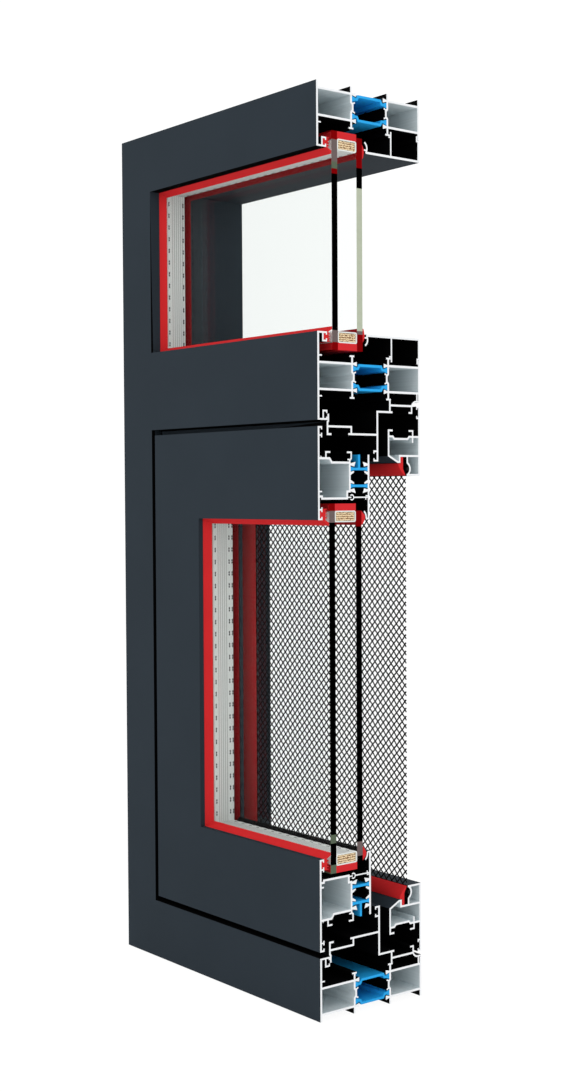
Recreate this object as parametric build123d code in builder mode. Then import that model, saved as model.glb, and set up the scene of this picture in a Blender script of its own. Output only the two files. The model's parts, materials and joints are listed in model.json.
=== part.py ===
"""Cut sample of a thermally broken aluminium window, in millimetres.

A fixed light sits over an outward sash, with an inward insect screen behind the sash.
X runs across the window, Y from the street to the room, Z up.
The right end is the cut, so every profile shows its section there.
Profiles are drawn with y, the depth behind the street face, and u, the height above the ring edge.
"""

import os

from build123d import *

os.makedirs("parts", exist_ok=True)

# Overall sizes of the sample
width = 284.0
height = 748.0
depth = 110.0
fixed_daylight = 145.0

# Wall stock and clearances shared by the profiles
wall = 1.8
lip = 1.4
barb = 1.2
seam = 0.2
fit = 0.1

# Frame and transom profile
fin = 5.0
tube = 23.0
rebate = 23.5
outer_half = 37.0
inner_half = 36.0
inner_lap = 5.2
foot_rise = 5.2
foot_width = 5.0
foot_over = 1.4
rib_rise = 4.6
rib_reach = 2.8

# Front gasket pocket of the frame
pocket_back = 5.0
pocket_reach = 5.0
pocket_high = 8.0

# Thermal break of the frame and transom
strip = 2.0
strip_inset = 0.8
strip_foot = 4.6
strip_clear = 1.2
strip_bend = 1.6
foot_root = 2.3
foot_neck = 1.4
foot_long = 3.0
hammer = 4.0
hammer_neck = 0.4
hammer_spread = 0.9
seat = 7.6
step = 1.6

# Sealed glass units
glass = 6.0
fixed_cavity = 20.0
sash_cavity = 22.0
fixed_setback = 5.3
sash_setback = 6.8
fixed_bite = 14.0
sash_bite = 13.0
seal_high = 5.7
spacer_high = 9.2
spacer_wall = 1.0
spacer_round = 1.6
grain_setback = 1.2

# Glazing gaskets
gasket_sight = 4.5
gasket_land = 2.0
gasket_free = 2.2
gasket_rib = 1.5
gasket_rib_wall = 0.8
gasket_ribs = 4
wedge_back = 6.8
wedge_heel = 3.2
wedge_toe = 0.4
wedge_edge = 1.0

# Bead of the fixed light
bead_gap = 4.0
nose_bulge = 1.3
nose_high = 9.0
nose_crown = 3.8
prong = 1.8
bead_hook = 3.5
bead_leg_over = 2.8

# Rebate stop clipped on the opening ring
stop_wall = 1.6
stop_floor_rise = 5.0
stop_lip_rise = 11.2
stop_lip_long = 3.2
stop_groove = 24.0
stop_clip = 5.0
stop_hook = 3.5
stop_high = 32.5
stop_web_drop = 8.0
stop_over = 2.8
stop_rear_web = 4.0
stop_rear_lip = 3.4
stop_share = 0.43
cove = 6.0
cove_dip = 0.7

# Sash profile
sash_gap = 5.0
sash_face = 74.5
stile_trim = 6.7
sash_depth = 54.0
sash_outer_half = 34.0
sash_inner_wall = 1.8
sash_wall = 1.7
sash_floor = 25.4
sash_drop = 3.3
sash_slope = 2.3
sash_rebate = 57.4
sash_notch = 5.6
sash_lip = 4.5
sash_rib = 7.1
sash_pocket = 9.0
groove_lip = 20.4
groove_start = 8.3
groove_mouth = 4.5
groove_step = 1.4
sash_nose = 3.6
sash_nose_high = 5.9
sash_nose_in = 2.3

# Thermal break of the sash
sash_strip_low = 33.7
sash_strip_high = 47.3
sash_strip_foot = 1.8
sash_fin = 10.6
tooth_gap = 2.6
tooth_root = 2.8
tooth_tip = 1.3
tooth_lean = 1.1
tooth_long = 3.6
flare_gap = 3.0
flare_root = 1.35
flare_lean = 1.0
flare_short = 3.9
flare_rise = 2.8
flare_long = 5.3
clip_wall = 1.0
clip_ring = 2.0
clip_grip = 0.6

# Insect screen profile
screen_edge = 38.0
screen_trim = 4.6
screen_face = 57.6
screen_depth = 35.7
screen_wall = 1.6
screen_return = 4.0
screen_floor = 25.3
screen_rise = 1.9
screen_slope = 1.6
screen_flat = 4.7
screen_leg = 6.1
screen_leg_over = 5.0
screen_shelf = 41.1
screen_channel = 21.8
screen_channel_high = 5.0
screen_channel_wide = 8.5
screen_shoulder = 2.1
mesh = 0.7
mesh_inset = 3.0
mesh_pitch = 24.0
mesh_bar = 4.0
spline = 3.0
press_foot = 2.8
press_high = 5.8
press_over = 1.6
press_bulge = 1.5

# Hinge blocks hidden in the hardware grooves of the jamb
hinge_long = 60.0
hinge_inset = 70.0
hinge_slack = 0.3

# Places worked out from the sizes
h = wall / 2
k = sash_wall / 2
x_left = -width / 2
x_cut = width / 2
y_front = -depth / 2
frame_face = fin + tube + rebate
transom_face = tube + 2 * rebate
tube_top = fin + tube
inner_face = tube_top + inner_lap
foot_u = tube_top + foot_rise
foot_top = foot_u + lip / 2
pocket_mouth = pocket_back + pocket_reach
break_in = depth - inner_half
foot_end = break_in - foot_over + foot_width
transom_top = height - frame_face - fixed_daylight
transom_bottom = transom_top - transom_face

# Rings as left edge, bottom edge and top edge, before the jamb fins and the stiles are trimmed
ring_left = x_left - fin
frame_ring = (ring_left, 0.0, height)
fixed_ring = (ring_left, transom_top - frame_face, height)
opening_ring = (ring_left, 0.0, transom_bottom + frame_face)


def inset(ring, amount):
    """A ring moved inwards on its three sides."""
    left, bottom, top = ring
    return (left + amount, bottom + amount, top - amount)


sash_offset = frame_face + sash_gap
stile_offset = sash_offset - stile_trim
sash_left = ring_left + sash_offset
sash_ring = (ring_left + stile_offset, *inset(opening_ring, sash_offset)[1:])
screen_offset = screen_edge - screen_trim
screen_left = ring_left + screen_edge
screen_ring = (ring_left + screen_offset, *inset(opening_ring, screen_edge)[1:])

# Depths of the glazing layers
fixed_glass = pocket_mouth + fixed_setback
fixed_back = fixed_glass + 2 * glass + fixed_cavity
sash_glass = sash_lip + sash_setback
sash_back = sash_glass + 2 * glass + sash_cavity
nose = fixed_back + bead_gap
fixed_edge = frame_face - fixed_bite
sash_edge = sash_face - sash_bite

# Depths and heights of the stop, which shares the free depth between sash and screen
free_depth = depth - sash_depth - wall - screen_depth
stop_upright = sash_depth + stop_share * free_depth + h
stop_leg = pocket_mouth + fit + stop_wall / 2
stop_front = stop_leg - stop_wall / 2
stop_back = stop_leg + stop_groove
stop_floor = frame_face + stop_floor_rise
stop_lip = frame_face + stop_lip_rise
stop_top = frame_face + stop_high
stop_web = frame_face - stop_web_drop
stop_rear = break_in + wall + stop_wall / 2
stop_end = depth - wall - cove - lip
rear_web = foot_top + stop_rear_web

# Depths and heights of the screen
screen_front = depth - screen_depth
channel = depth - h - screen_channel
channel_far = channel + screen_channel_wide
channel_top = screen_shelf + screen_channel_high
mesh_front = channel_far - screen_wall / 2 - seam - mesh


# Drawing helpers for profiles
def run(*points, thickness=wall):
    """A wall drawn along its centre line."""
    with BuildLine() as line:
        Polyline(*points)
    trace(line.line, line_width=thickness)


def bow(start, middle, end, thickness=wall):
    """A curved wall drawn along its centre line."""
    with BuildLine() as line:
        ThreePointArc(start, middle, end)
    trace(line.line, line_width=thickness)


def block(y0, u0, y1, u1, mode=Mode.ADD):
    """A filled rectangle between two corners."""
    with Locations(((y0 + y1) / 2, (u0 + u1) / 2)):
        Rectangle(abs(y1 - y0), abs(u1 - u0), mode=mode)


def outline(*points):
    """A filled shape inside a closed line."""
    with BuildLine() as line:
        Polyline(*points, close=True)
    make_face(line.line)


# Placing helpers for profiles
def side_plane(ring, side):
    """The profile plane of one side of a ring and the length of that side."""
    left, bottom, top = ring
    if side == "low":
        return Plane((left, y_front, bottom), x_dir=(0, 1, 0), z_dir=(1, 0, 0)), x_cut - left
    if side == "high":
        return Plane((x_cut, y_front, top), x_dir=(0, 1, 0), z_dir=(-1, 0, 0)), x_cut - left
    return Plane((left, y_front, top), x_dir=(0, 1, 0), z_dir=(0, 0, -1)), top - bottom


def mitres(ring, side):
    """The mitre planes that end one side of a ring."""
    left, bottom, top = ring
    if side == "low":
        return [Plane((left, y_front, bottom), z_dir=(1, 0, -1))]
    if side == "high":
        return [Plane((left, y_front, top), z_dir=(1, 0, 1))]
    low = Plane((left, y_front, bottom), z_dir=(-1, 0, 1))
    high = Plane((left, y_front, top), z_dir=(-1, 0, -1))
    return [low, high]


def member(ring, side, draw):
    """One length of profile, mitred where it meets the next side."""
    plane, length = side_plane(ring, side)
    with BuildPart() as piece:
        with BuildSketch(plane):
            draw()
        extrude(amount=length)
        for cut in mitres(ring, side):
            split(bisect_by=cut, keep=Keep.TOP)
    return piece.part


def trimmed(part, edge):
    """A length without what lies left of an edge, such as the fins of the jamb."""
    with BuildPart() as piece:
        add(part)
        split(bisect_by=Plane((edge, 0, 0), z_dir=(1, 0, 0)), keep=Keep.TOP)
    return piece.part


def loop(ring, draw, back=0.0, round_part=None):
    """The three sides of a ring joined, set back from the cut and cut round a part if asked."""
    sides = [member(ring, side, draw) for side in ("high", "left", "low")]
    with BuildPart() as piece:
        add(sides)
        if back > 0:
            end = Plane((x_cut - back, 0, 0), z_dir=(-1, 0, 0))
            split(bisect_by=end, keep=Keep.TOP)
        if round_part is not None:
            add(round_part, mode=Mode.SUBTRACT)
    return piece.part


def sheet(ring, edge, front, thickness):
    """A flat sheet inside a ring that stops flush with the cut."""
    left, bottom, top = inset(ring, edge)
    middle = ((left + x_cut) / 2, y_front + front, (bottom + top) / 2)
    with BuildPart() as piece:
        with BuildSketch(Plane(middle, x_dir=(1, 0, 0), z_dir=(0, 1, 0))):
            Rectangle(x_cut - left, top - bottom)
        extrude(amount=thickness)
    return piece.part


def save(part, name):
    """Label a part and write its file."""
    part.label = name
    export_step(part, f"parts/{name}.step")


# Profiles of the frame
def tube_half(face_y, break_y, low, high, low_end, high_end):
    """The tube of one half with its stepped break wall, hammers and barbs."""
    way = 1 if break_y > face_y else -1
    wall_y = break_y - way * h
    mid_y = wall_y + way * step
    for web in (low + h, high - h):
        run((face_y, web), (break_y, web))
    run(
        (wall_y, low_end),
        (wall_y, low + seat),
        (mid_y, low + seat + step),
        (mid_y, high - seat - step),
        (wall_y, high - seat),
        (wall_y, high_end),
    )
    tip_y = break_y + way * hammer
    barb_y = break_y + way * foot_long
    for edge, side in ((low, 1), (high, -1)):
        inner_edge = edge + side * wall
        outline(
            (wall_y, edge + side * hammer_neck),
            (tip_y, edge - side * hammer_spread),
            (tip_y, inner_edge + side * hammer_spread),
            (wall_y, inner_edge - side * hammer_neck),
        )
        root = edge + side * (seat + barb)
        run((break_y - way * fit, root), (barb_y, root - side * lip), thickness=barb)


def foot_bar(break_y, way, level):
    """The catch along the free edge of a break wall."""
    start = break_y + way * foot_over
    run((start, level), (start - way * foot_width, level), thickness=lip)


def front_pocket(edge, side):
    """The gasket pocket behind the free edge of the street face."""
    near = edge + side * lip / 2
    far = edge + side * (pocket_high - lip / 2)
    end = edge + side * pocket_high
    back = pocket_back + lip / 2
    run((0, near), (pocket_mouth, near), thickness=lip)
    run((pocket_mouth, far), (back, far), (back, near), thickness=lip)
    block(pocket_mouth - barb, edge, pocket_mouth, edge + side * (lip + barb))
    block(pocket_mouth - barb, end, pocket_mouth, end - side * (lip + barb))


def face_rib(level):
    """The short rib behind the street face."""
    run((h, level), (wall + rib_reach, level), thickness=barb)


def frame_outer_profile():
    """Street half of the frame."""
    tube_half(0, outer_half, fin, tube_top, 0, foot_u)
    run((h, 0), (h, frame_face))
    foot_bar(outer_half, 1, foot_u)
    face_rib(tube_top + rib_rise)
    front_pocket(frame_face, -1)


def frame_inner_profile():
    """Room half of the frame."""
    tube_half(depth, break_in, fin, tube_top, 0, foot_u)
    run((depth - h, 0), (depth - h, inner_face))
    foot_bar(break_in, -1, foot_u)


def strip_pair(low, high):
    """The two break strips that join the halves."""
    neck = hammer + strip_clear
    bend = neck + strip_bend
    for edge, side in ((low, 1), (high, -1)):
        foot = edge + side * strip_foot
        body = edge + side * (strip_inset + strip / 2)
        run(
            (outer_half, foot),
            (outer_half + neck, foot),
            (outer_half + bend, body),
            (break_in - bend, body),
            (break_in - neck, foot),
            (break_in, foot),
            thickness=strip,
        )
        for root, way in ((outer_half, 1), (break_in, -1)):
            outline(
                (root, foot - foot_root),
                (root, foot + foot_root),
                (root + way * foot_long, foot + foot_neck),
                (root + way * foot_long, foot - foot_neck),
            )


def frame_strips_profile():
    """Break strips of the frame."""
    strip_pair(fin, tube_top)


# Profiles of the transom, drawn from its lower edge
transom_low = rebate
transom_high = rebate + tube


def transom_outer_profile():
    """Street half of the transom."""
    feet = (transom_low - foot_rise, transom_high + foot_rise)
    tube_half(0, outer_half, transom_low, transom_high, *feet)
    run((h, 0), (h, transom_face))
    for level in feet:
        foot_bar(outer_half, 1, level)
    face_rib(transom_low - rib_rise)
    face_rib(transom_high + rib_rise)
    front_pocket(0, 1)
    front_pocket(transom_face, -1)


def transom_inner_profile():
    """Room half of the transom."""
    feet = (transom_low - foot_rise, transom_high + foot_rise)
    tube_half(depth, break_in, transom_low, transom_high, *feet)
    run((depth - h, transom_low - inner_lap), (depth - h, transom_high + inner_lap))
    for level in feet:
        foot_bar(break_in, -1, level)


def transom_strips_profile():
    """Break strips of the transom."""
    strip_pair(transom_low, transom_high)


def transom_bar(draw, start, notch_y=0.0, notch_end=0.0):
    """A transom length that butts on the jamb, notched at the front where the jamb is wider."""
    begin = ring_left + start
    plane = Plane((begin, y_front, transom_bottom), x_dir=(0, 1, 0), z_dir=(1, 0, 0))
    with BuildPart() as piece:
        with BuildSketch(plane):
            draw()
        extrude(amount=x_cut - begin)
        if notch_end > start:
            with BuildSketch(plane):
                block(-wall, -wall, notch_y, transom_face + wall)
            extrude(amount=notch_end - start, mode=Mode.SUBTRACT)
    return piece.part


# Profiles of the glazing
def bead_profile():
    """Snap-in bead that closes the fixed light on the room side."""
    floor = frame_face - h
    start = inner_face + seam
    hook_y = depth - wall - seam - lip / 2
    leg_y = foot_end + seam + lip / 2
    catch = foot_top + seam
    run((nose, floor), (depth, floor))
    run((depth - h, start), (depth - h, frame_face))
    run(
        (depth - h, start + lip / 2),
        (hook_y, start + lip / 2),
        (hook_y, start - bead_hook),
        thickness=lip,
    )
    run((leg_y, floor), (leg_y, foot_u - bead_leg_over), thickness=lip)
    block(leg_y - lip / 2 - wall, catch, leg_y, catch + barb)
    bow(
        (nose, frame_face - lip / 2),
        (nose + nose_bulge, frame_face - nose_crown),
        (nose - nose_bulge, frame_face - nose_high),
        thickness=lip,
    )
    level = frame_face - 2 * lip
    run((nose + lip / 2, level), (nose - prong, level), thickness=barb)


def outer_gasket(back, mouth, pane, edge, pocket):
    """Street gasket with a foot in its pocket, ribs behind it and a lip on the glass."""
    low = edge - pocket + lip + fit
    high = edge - lip - fit
    catch = mouth - barb - fit
    start = mouth + fit
    touch = pane - fit
    body = pane - gasket_free - gasket_rib
    outline(
        (back + fit, low),
        (catch, low),
        (catch, low + barb),
        (start, low + barb),
        (start, edge - pocket),
        (body, edge - pocket),
        (body, edge + fit),
        (touch, edge + gasket_land),
        (touch, edge + gasket_sight),
        (start, edge + fit),
        (start, high - barb),
        (catch, high - barb),
        (catch, high),
        (back + fit, high),
    )
    pitch = pocket / gasket_ribs
    for number in range(gasket_ribs):
        level = edge - pocket + number * pitch
        block(body - fit, level, body + gasket_rib, level + gasket_rib_wall)


def inner_gasket(pane, rest, edge):
    """Room gasket wedged between the glass and its lip."""
    touch = pane + fit
    outline(
        (touch, edge - wedge_back),
        (rest, edge - wedge_heel),
        (rest, edge - wedge_toe),
        (touch + wedge_edge, edge + gasket_sight - wedge_toe),
        (touch, edge + gasket_sight),
    )


def fixed_outer_gasket_profile():
    """Street gasket of the fixed light."""
    outer_gasket(pocket_back + lip, pocket_mouth, fixed_glass, frame_face, pocket_high)


def fixed_inner_gasket_profile():
    """Room gasket of the fixed light."""
    inner_gasket(fixed_back, nose - prong - fit, frame_face)


def sash_outer_gasket_profile():
    """Street gasket of the sash."""
    outer_gasket(sash_wall, sash_lip, sash_glass, sash_face, sash_pocket)


def sash_inner_gasket_profile():
    """Room gasket of the sash."""
    inner_gasket(sash_back, sash_depth - sash_nose - lip / 2 - 2 * seam, sash_face)


def seal_profile(front, cavity, edge):
    """Sealant along the rim of a sealed unit."""
    block(front, edge, front + cavity, edge + seal_high)


def spacer_fill(front, cavity, edge, inward, mode=Mode.ADD):
    """The rounded section of a spacer, moved inwards by an amount."""
    with Locations((front + cavity / 2, edge + seal_high + spacer_high / 2)):
        RectangleRounded(
            cavity - 2 * inward,
            spacer_high - 2 * inward,
            spacer_round - inward,
            mode=mode,
        )


def spacer_profile(front, cavity, edge):
    """Hollow spacer tube between the panes."""
    spacer_fill(front, cavity, edge, 0.0)
    spacer_fill(front, cavity, edge, spacer_wall, mode=Mode.SUBTRACT)


def grains_profile(front, cavity, edge):
    """Drying grains that fill the spacer."""
    spacer_fill(front, cavity, edge, spacer_wall + fit)


# Profile of the rebate stop
def stop_profile():
    """Stop that turns the frame rebate into seats for the sash and the screen."""
    ledge = stop_lip - stop_wall / 4
    run(
        (stop_leg, frame_face - stop_clip),
        (stop_leg, frame_face + stop_wall / 2),
        (stop_front, frame_face + stop_wall),
        (stop_front, stop_lip),
        (stop_front + stop_wall / 2 + stop_lip_long, stop_lip),
        thickness=stop_wall,
    )
    run(
        (stop_front, stop_floor),
        (stop_back, stop_floor),
        (stop_back, ledge),
        thickness=stop_wall,
    )
    run((stop_back - stop_lip_long, ledge), (stop_upright, ledge), thickness=stop_wall)
    run((stop_upright, stop_web - stop_wall / 2), (stop_upright, stop_top))
    hook = stop_upright - h - stop_hook
    low = stop_top - sash_pocket
    block(hook, stop_top - lip, stop_upright, stop_top)
    block(hook, stop_top - lip - barb, hook + barb, stop_top)
    block(hook, low, stop_upright, low + lip)
    block(hook, low, hook + barb, low + lip + barb)
    run((stop_upright, stop_web), (stop_rear + stop_over, stop_web), thickness=stop_wall)
    run((stop_rear, stop_web), (stop_rear, foot_top), thickness=stop_wall)
    run((stop_rear, rear_web), (stop_end, rear_web), thickness=stop_wall)
    run(
        (stop_end, rear_web),
        (stop_end, stop_web),
        (stop_end - stop_rear_lip, stop_web),
        thickness=lip,
    )
    rim = inner_face + seam + lip / 2
    fall = rear_web - rim
    bow(
        (stop_end, rear_web),
        (stop_end + (1 - cove_dip) * cove, rear_web - cove_dip * fall),
        (stop_end + cove, rim),
        thickness=lip,
    )
    run((stop_end + cove - lip / 2, rim), (depth, rim), thickness=lip)
    run((stop_end + cove, rim), (stop_end + cove, tube_top), thickness=lip)


# Profiles of the sash
def sash_teeth(root, way):
    """Crimped teeth on both sides of each sash strip, the outer ones flared."""
    base = root - way * k
    for middle, side in ((sash_strip_low, -1), (sash_strip_high, 1)):
        flare = middle + side * flare_gap
        outline(
            (base, flare),
            (base, flare + side * flare_root),
            (root + way * flare_long, flare + side * flare_rise),
            (root + way * flare_short, flare - side * flare_lean),
        )
        tooth = middle - side * tooth_gap
        outline(
            (base, tooth),
            (base, tooth - side * tooth_root),
            (root + way * tooth_long, tooth + side * (tooth_lean - tooth_tip)),
            (root + way * tooth_long, tooth + side * tooth_lean),
        )


def sash_outer_profile():
    """Street half of the sash with the hardware groove and gasket pockets."""
    wall_y = sash_outer_half - k
    side_y = sash_outer_half + lip / 2
    shelf = sash_floor + sash_drop
    slope = groove_start + groove_mouth - lip / 2
    # Street face with the rim pocket of the outer seal
    run((k, 0), (k, sash_face), thickness=sash_wall)
    run((0, lip / 2), (sash_lip, lip / 2), thickness=lip)
    block(sash_lip - barb, 0, sash_lip, lip + barb)
    run((k, sash_rib), (sash_lip, sash_rib), thickness=barb)
    block(sash_lip - barb, sash_rib - wall, sash_lip, sash_rib + wall)
    # Hardware groove
    run(
        (k, sash_floor),
        (slope, sash_floor),
        (slope + sash_slope, shelf),
        (wall_y, shelf),
        thickness=sash_wall,
    )
    run(
        (groove_start, sash_floor),
        (groove_start, groove_lip),
        (groove_start + groove_mouth, groove_lip),
        thickness=lip,
    )
    floor = sash_floor - k
    outline((2 * lip, floor + fit), (2 * lip, floor - lip), (3 * lip, floor + fit))
    run(
        (wall_y, shelf),
        (wall_y, sash_floor + groove_step),
        (side_y, sash_floor),
        (side_y, groove_lip),
        (side_y - groove_mouth, groove_lip),
        thickness=lip,
    )
    catch = sash_floor + groove_step - barb / 2
    run((wall_y, catch), (wall_y - 2 * barb, catch), thickness=barb)
    # Tube with its break wall and the notch for the clip cover
    notch = sash_rebate - sash_notch
    notch_y = wall_y - 2 * lip
    ramp = sash_lip - lip / 4
    run(
        (wall_y, shelf - k),
        (wall_y, notch),
        (notch_y, notch),
        (notch_y, sash_rebate),
        (ramp, sash_rebate),
        (ramp, sash_rebate - sash_wall),
        (k, sash_rebate - sash_wall),
        thickness=sash_wall,
    )
    grip = sash_rebate - k
    run((notch_y, grip), (sash_outer_half + clip_grip, grip), thickness=clip_wall)
    run((k, notch), (ramp, notch), thickness=barb)
    sash_teeth(sash_outer_half, 1)
    # Gasket pocket at the glass
    run((0, sash_face - lip / 2), (sash_lip, sash_face - lip / 2), thickness=lip)
    block(sash_lip - barb, sash_face - lip - barb, sash_lip, sash_face)
    inner = sash_face - sash_pocket + lip / 2
    reach = lip / 2 + barb
    run((k, inner), (sash_lip, inner), thickness=lip)
    block(sash_lip - barb, inner - reach, sash_lip, inner + reach)


def sash_inner_profile():
    """Room leaf of the sash with the lip for the glass gasket."""
    wall_y = sash_depth - sash_inner_wall / 2
    root = sash_depth - sash_inner_wall
    top = sash_strip_low - strip / 2 - sash_fin
    end = sash_face - lip / 2
    nose_y = sash_depth - sash_nose
    run((wall_y, top), (wall_y, sash_face), thickness=sash_inner_wall)
    run((sash_depth, end), (nose_y - seam, end), thickness=lip)
    bow(
        (nose_y, end),
        (nose_y - seam, end - sash_nose_high / 2),
        (nose_y - sash_nose_in, end - sash_nose_high),
        thickness=lip,
    )
    ledge = sash_rebate - k - clip_wall - seam
    run((wall_y, ledge), (root - 2 * barb, ledge), thickness=clip_wall)
    sash_teeth(root, -1)


def sash_strips_profile():
    """Break strips of the sash, the outer one with a fin."""
    start = sash_outer_half
    end = sash_depth - sash_inner_wall
    middle = (start + end) / 2
    for level in (sash_strip_low, sash_strip_high):
        run((start, level), (end, level), thickness=strip)
        for root, way in ((start, 1), (end, -1)):
            outline(
                (root, level - sash_strip_foot),
                (root, level + sash_strip_foot),
                (root + way * foot_long, level + strip / 2),
                (root + way * foot_long, level - strip / 2),
            )
    tip = sash_strip_low - strip / 2 - sash_fin
    run((middle, sash_strip_low), (middle, tip), thickness=strip)


def sash_clip_profile():
    """Cover clipped under the break of the sash."""
    level = sash_rebate - k
    centre = sash_outer_half + 2 * clip_grip
    end = sash_depth - sash_inner_wall - fit
    reach = clip_ring / 2**0.5
    run((centre + clip_ring, level), (end, level), thickness=clip_wall)
    run((end - clip_ring, level), (end - clip_ring, level + clip_ring), thickness=clip_wall)
    bow(
        (centre - reach, level - reach),
        (centre + clip_ring, level),
        (centre - reach, level + reach),
        thickness=clip_wall,
    )


# Profiles of the insect screen
def screen_profile():
    """Screen rail with its hardware groove, tube and mesh channel."""
    wall_y = screen_front + screen_wall / 2
    face_y = depth - h
    edge_y = depth - screen_return
    high = screen_face - screen_wall / 2
    # Room face with the rim pocket of the outer seal
    run((face_y, 0), (face_y, screen_face))
    run((edge_y, lip / 2), (depth, lip / 2), thickness=lip)
    block(edge_y, 0, edge_y + barb, lip + barb)
    catch = sash_pocket + lip / 2
    run((edge_y, catch), (depth, catch), thickness=lip)
    block(edge_y, catch - lip / 2 - barb, edge_y + barb, catch + lip / 2)
    # Hardware groove
    rise = screen_floor + screen_rise
    near = wall_y + screen_flat
    far = channel_far + screen_slope / 4
    run(
        (wall_y, screen_floor),
        (near, screen_floor),
        (near + screen_slope, rise),
        (far, rise),
        (far + screen_slope, screen_floor),
        (face_y, screen_floor),
        thickness=screen_wall,
    )
    leg = channel_far + screen_leg
    run(
        (leg - groove_mouth, groove_lip),
        (leg, groove_lip),
        (leg, screen_floor + screen_leg_over),
        thickness=lip,
    )
    # Tube with the slanted shoulder and the near wall of the mesh channel
    run(
        (wall_y + groove_mouth, groove_lip),
        (wall_y, groove_lip),
        (wall_y, screen_shelf),
        (channel - screen_shoulder, channel_top + fit),
        (channel, channel_top),
        (channel, screen_shelf),
        (face_y, screen_shelf),
        thickness=screen_wall,
    )
    # Far wall of the mesh channel with its round seat
    bead = channel_top + screen_wall / 2
    run((channel_far, screen_shelf), (channel_far, bead + seam), thickness=screen_wall)
    bow(
        (channel_far, bead),
        (channel_far + spline, (bead + high) / 2),
        (channel_far, high),
        thickness=screen_wall,
    )
    run((channel_far - screen_wall / 2, high), (face_y, high), thickness=screen_wall)


def screen_gasket_profile():
    """Strip that presses the mesh into its channel."""
    start = channel + screen_wall / 2 + fit
    back = start + press_foot
    low = screen_shelf + screen_wall / 2 + fit
    shoulder = channel_top + screen_wall / 2 + 2 * seam
    crown = screen_face - press_high
    tip = (mesh_front - seam, screen_face - seam)
    toe = (channel - press_over, shoulder + seam)
    with BuildLine() as line:
        Polyline(toe, (start, shoulder), (start, low), (back, low), (back, crown), tip)
        SagittaArc(tip, toe, -press_bulge)
    make_face(line.line)


def screen_spline_profile():
    """Round cord in the seat of the mesh channel."""
    bead = channel_top + screen_wall / 2
    middle = (bead + screen_face - screen_wall / 2) / 2
    back = channel_far + spline - screen_wall / 2
    front = mesh_front + mesh
    with Locations(((front + back) / 2, middle)):
        Circle((back - front) / 2 - fit)


def mesh_sheet():
    """Mesh sheet with diamond openings, coarser than the real weave, over its daylight."""
    left, bottom, top = inset(screen_ring, screen_face)
    middle = ((left + x_cut) / 2, y_front + mesh_front, (bottom + top) / 2)
    columns = int((x_cut - left) / mesh_pitch)
    rows = int((top - bottom) / mesh_pitch)
    hole = mesh_pitch / 2**0.5 - mesh_bar
    with BuildPart() as piece:
        add(sheet(screen_ring, screen_shelf + mesh_inset, mesh_front, mesh))
        with BuildSketch(Plane(middle, x_dir=(1, 0, 0), z_dir=(0, 1, 0))):
            with GridLocations(mesh_pitch, mesh_pitch, columns, rows):
                Rectangle(hole, hole, rotation=45)
            with GridLocations(mesh_pitch, mesh_pitch, columns - 1, rows - 1):
                Rectangle(hole, hole, rotation=45)
        extrude(amount=mesh, mode=Mode.SUBTRACT)
    return piece.part


# Hinge blocks between two facing hardware grooves of the jamb
def hinge_pair(floors, heads, throat, low_seat, high_seat):
    """Two blocks, each with a head in the frame groove and one in the sash groove."""
    bottom = sash_ring[1] + hinge_inset
    top = sash_ring[2] - hinge_inset - hinge_long
    with BuildPart() as piece:
        for start in (bottom, top):
            origin = (ring_left, y_front, start + hinge_long)
            with BuildSketch(Plane(origin, x_dir=(0, 1, 0), z_dir=(0, 0, -1))):
                block(throat[0], floors[0], throat[1], floors[1])
                block(low_seat[0], floors[0], low_seat[1], heads[0])
                block(high_seat[0], heads[1], high_seat[1], floors[1])
            extrude(amount=hinge_long)
    return piece.part


def sash_hinge_blocks():
    """Hinge blocks of the sash."""
    floors = (stop_floor + stop_wall / 2, stile_offset + sash_floor + sash_drop - k)
    heads = (
        stop_lip - stop_wall - hinge_slack,
        stile_offset + groove_lip + lip / 2 + hinge_slack,
    )
    slope_end = groove_start + groove_mouth + sash_slope
    lip_end = sash_outer_half + lip / 2 - groove_mouth
    throat = (slope_end + lip, lip_end - hinge_slack)
    low_seat = (stop_leg + stop_wall, stop_back - stop_wall)
    high_seat = (slope_end + lip, sash_outer_half - k - 2 * barb - hinge_slack)
    return hinge_pair(floors, heads, throat, low_seat, high_seat)


def screen_hinge_blocks():
    """Hinge blocks of the insect screen."""
    floors = (rear_web + stop_wall / 2, screen_offset + screen_floor - screen_wall / 2)
    heads = (
        stop_web - stop_wall / 2 - hinge_slack,
        screen_offset + groove_lip + screen_wall / 2 + hinge_slack,
    )
    lip_start = max(stop_rear + stop_over, screen_front + screen_wall / 2 + groove_mouth)
    lip_end = min(stop_end - stop_rear_lip, channel_far + screen_leg - groove_mouth)
    throat = (lip_start + hinge_slack, lip_end - hinge_slack)
    low_seat = (stop_rear + stop_wall, stop_end - lip)
    high_seat = (screen_front + screen_wall + hinge_slack, lip_end + lip)
    return hinge_pair(floors, heads, throat, low_seat, high_seat)


# Names of the three sides of each ring
frame_sides = (("high", "head"), ("left", "jamb"), ("low", "sill"))
bead_sides = (("high", "head"), ("left", "jamb"), ("low", "transom"))
sash_sides = (("high", "top"), ("left", "stile"), ("low", "bottom"))

# Frame
frame_outer = {}
for side, name in frame_sides:
    frame_outer[name] = trimmed(member(frame_ring, side, frame_outer_profile), x_left)
    save(frame_outer[name], f"frame_{name}_outer")
    inner_length = trimmed(member(frame_ring, side, frame_inner_profile), x_left)
    save(inner_length, f"frame_{name}_inner")
save(loop(frame_ring, frame_strips_profile), "frame_break_strips")

# Transom between the lights
outer_bar = transom_bar(transom_outer_profile, foot_top, pocket_mouth + seam, frame_face)
save(outer_bar, "transom_outer")
inner_bar = transom_bar(transom_inner_profile, inner_face, foot_end + seam, foot_top)
save(inner_bar, "transom_inner")
save(transom_bar(transom_strips_profile, foot_top), "transom_break_strips")


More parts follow.
